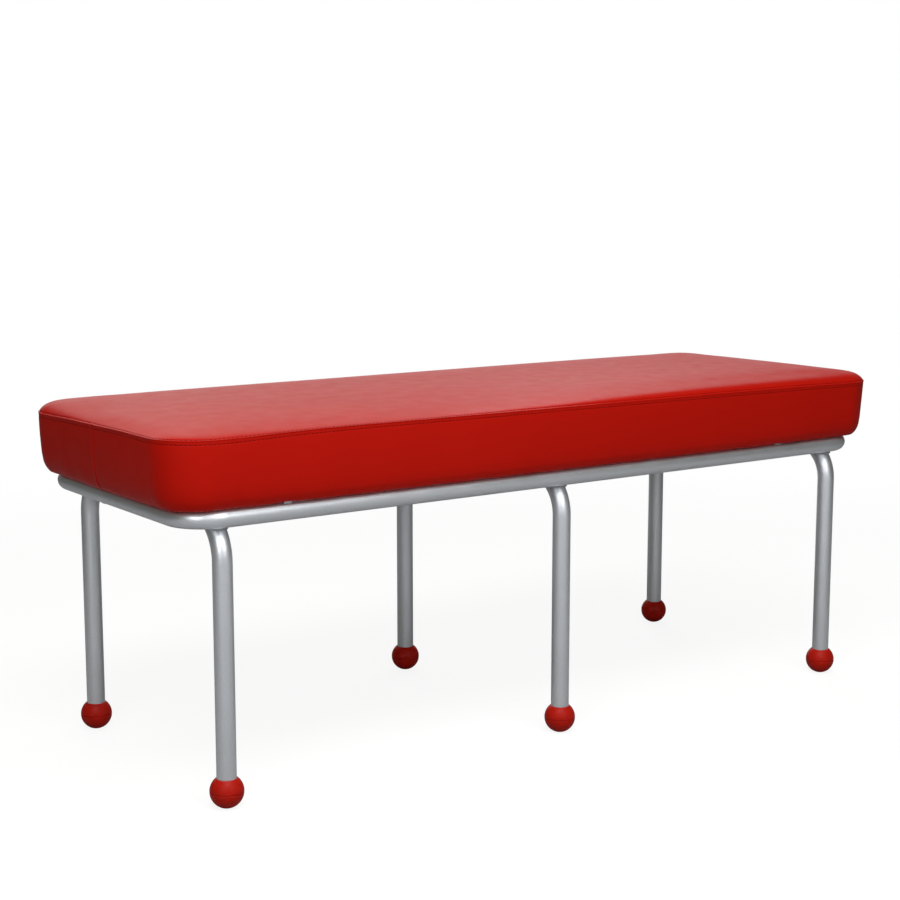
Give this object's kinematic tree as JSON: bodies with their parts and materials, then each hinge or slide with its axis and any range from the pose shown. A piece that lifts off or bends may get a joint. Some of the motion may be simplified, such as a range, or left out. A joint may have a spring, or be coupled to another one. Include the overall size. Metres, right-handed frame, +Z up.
{
  "type": "upholstered bench",
  "caption": "Long backless bench with a padded vinyl seat on a steel tube rail, tube leg hoops and ball feet, for a hotel or waiting room.",
  "frame": {"origin": "on the floor, under the middle of the bench", "axes": "+X along the bench to its right end, +Y from the front side to the rear side, +Z up"},
  "size_m": [1.209, 0.447, 0.474],
  "materials": {
    "cover_vinyl": "satin red vinyl with a fine leather grain, double topstitched",
    "frame_paint": "silver metallic powder coat, semi-gloss",
    "foot_rubber": "moulded red rubber, satin",
    "plywood": "raw birch plywood",
    "foam": "open-cell polyurethane foam",
    "zinc_steel": "zinc-plated steel",
    "dust_cloth": "black non-woven cloth"
  },
  "bodies": {
    "root": {"ring_rail": "frame_paint", "rail_butt_weld": "frame_paint", "leg_hoop_left": "frame_paint", "leg_hoop_middle": "frame_paint", "leg_hoop_right": "frame_paint", "hoop_weld_beads": "frame_paint", "mounting_tab_front_left": "frame_paint", "mounting_tab_front_right": "frame_paint", "mounting_tab_rear_left": "frame_paint", "mounting_tab_rear_right": "frame_paint", "tab_weld_beads": "frame_paint", "mounting_bolts": "zinc_steel", "bolt_washers": "zinc_steel", "t_nuts": "zinc_steel", "seat_board": "plywood", "seat_foam": "foam", "cover_top_panel": "cover_vinyl", "cover_band_front": "cover_vinyl", "cover_band_rear": "cover_vinyl", "band_staples": "zinc_steel", "dust_cloth": "dust_cloth", "dust_cloth_staples": "zinc_steel", "foot_front_left": "foot_rubber", "foot_front_middle": "foot_rubber", "foot_front_right": "foot_rubber", "foot_rear_left": "foot_rubber", "foot_rear_middle": "foot_rubber", "foot_rear_right": "foot_rubber", "foot_washers": "zinc_steel"}
  },
  "joints": []
}
